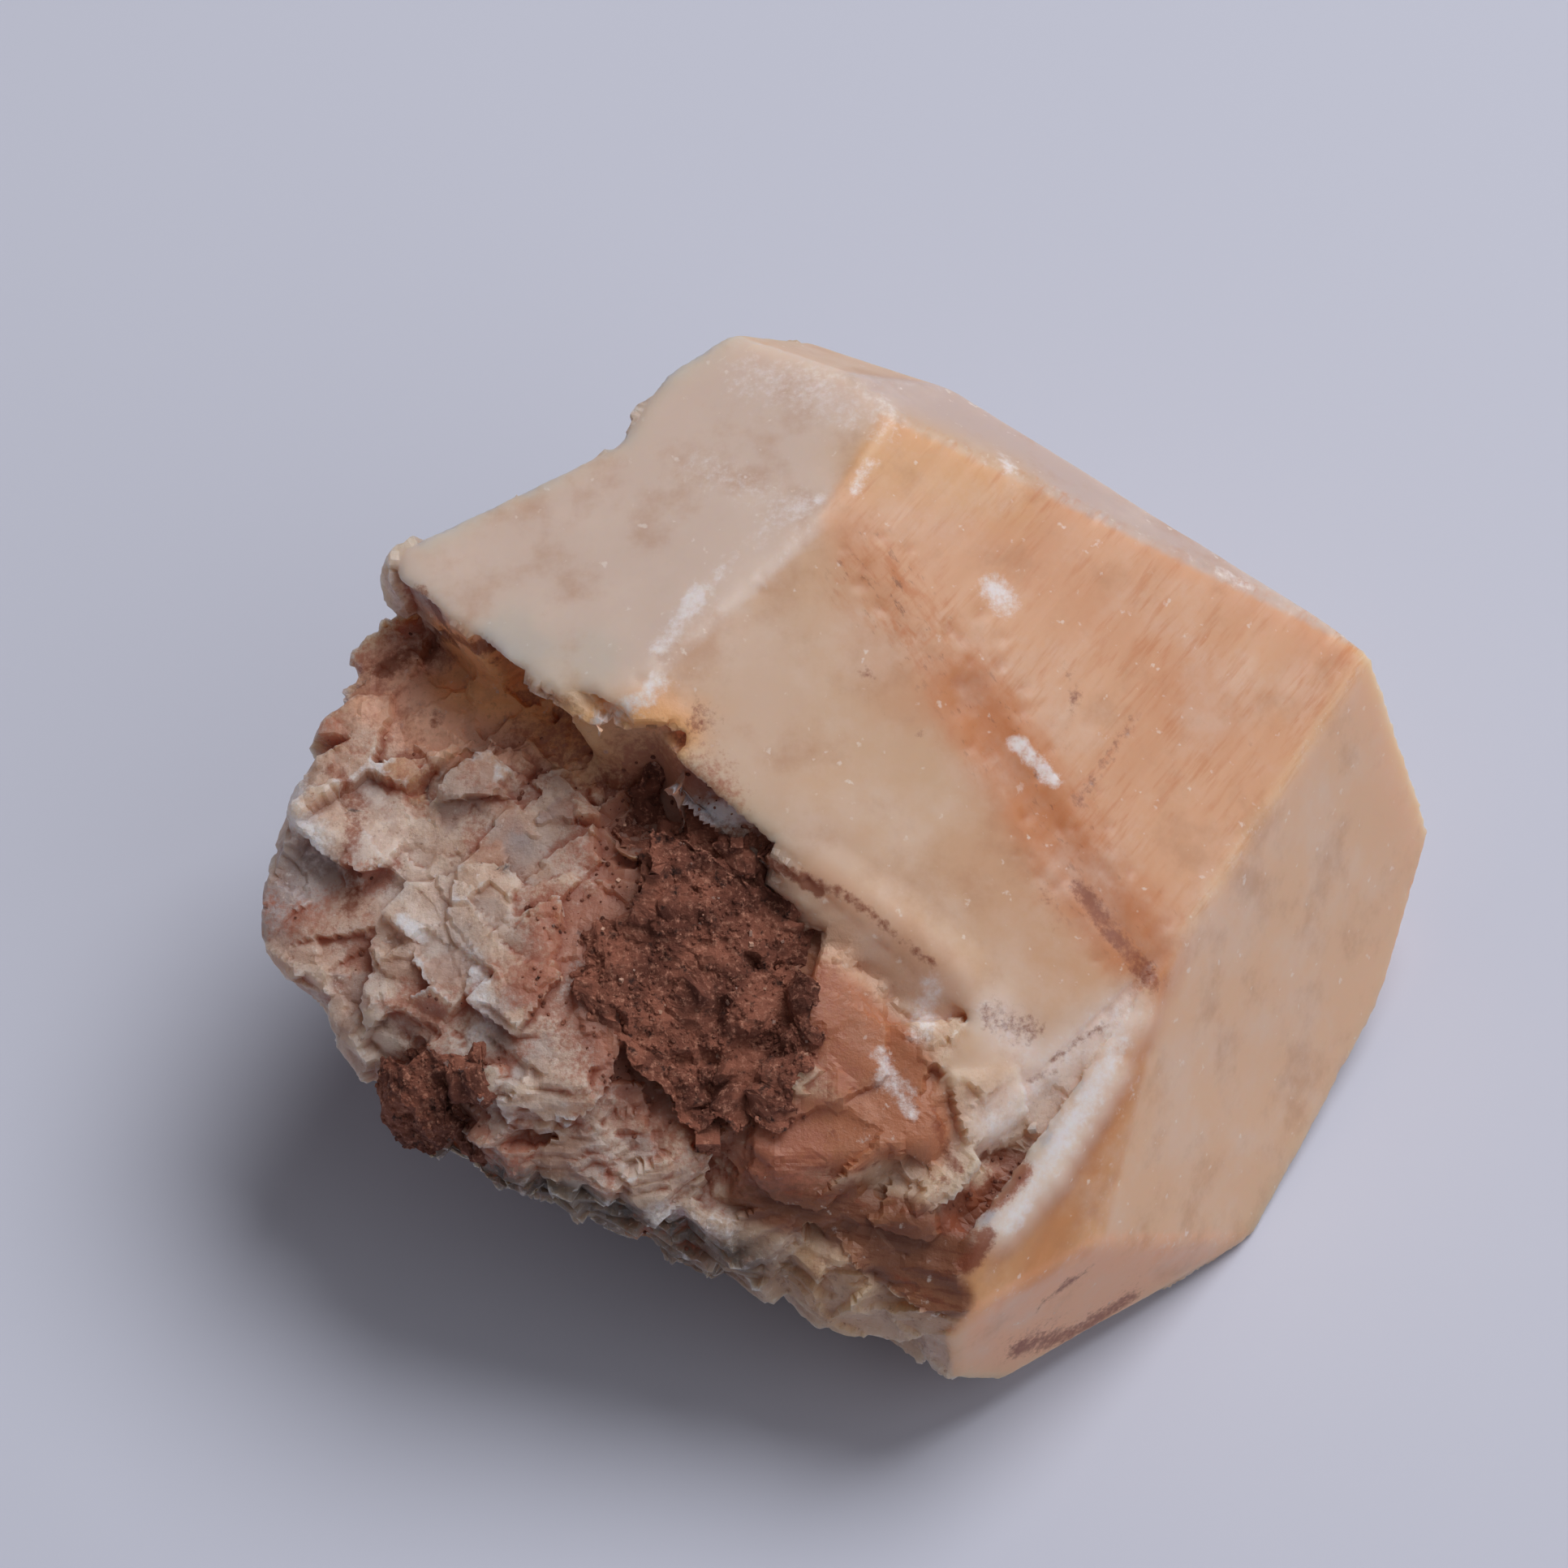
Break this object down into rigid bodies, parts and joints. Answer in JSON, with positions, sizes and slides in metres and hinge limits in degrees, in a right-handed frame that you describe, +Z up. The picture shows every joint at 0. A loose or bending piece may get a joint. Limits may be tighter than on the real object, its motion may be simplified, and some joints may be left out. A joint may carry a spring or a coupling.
{
  "type": "calcite specimen",
  "caption": "Loose hand-sized crystal of honey calcite with flat smooth faces at one end and a stepped, stained break with dried clay at the other.",
  "frame": {"origin": "middle of the bounding box's underside, on the surface that the specimen rests on", "axes": "+X towards the end with the smooth crystal faces, -Y towards the side with the clay, +Z up"},
  "size_m": [0.0854, 0.0704, 0.0445],
  "materials": {
    "calcite": "translucent, satin crystal faces with chalky bruises and rust stains",
    "clay": "dry, matt and crumbly"
  },
  "bodies": {
    "root": {"calcite_crystal": "calcite", "clay_in_hollow": "clay", "clay_on_edge": "clay"}
  },
  "joints": []
}
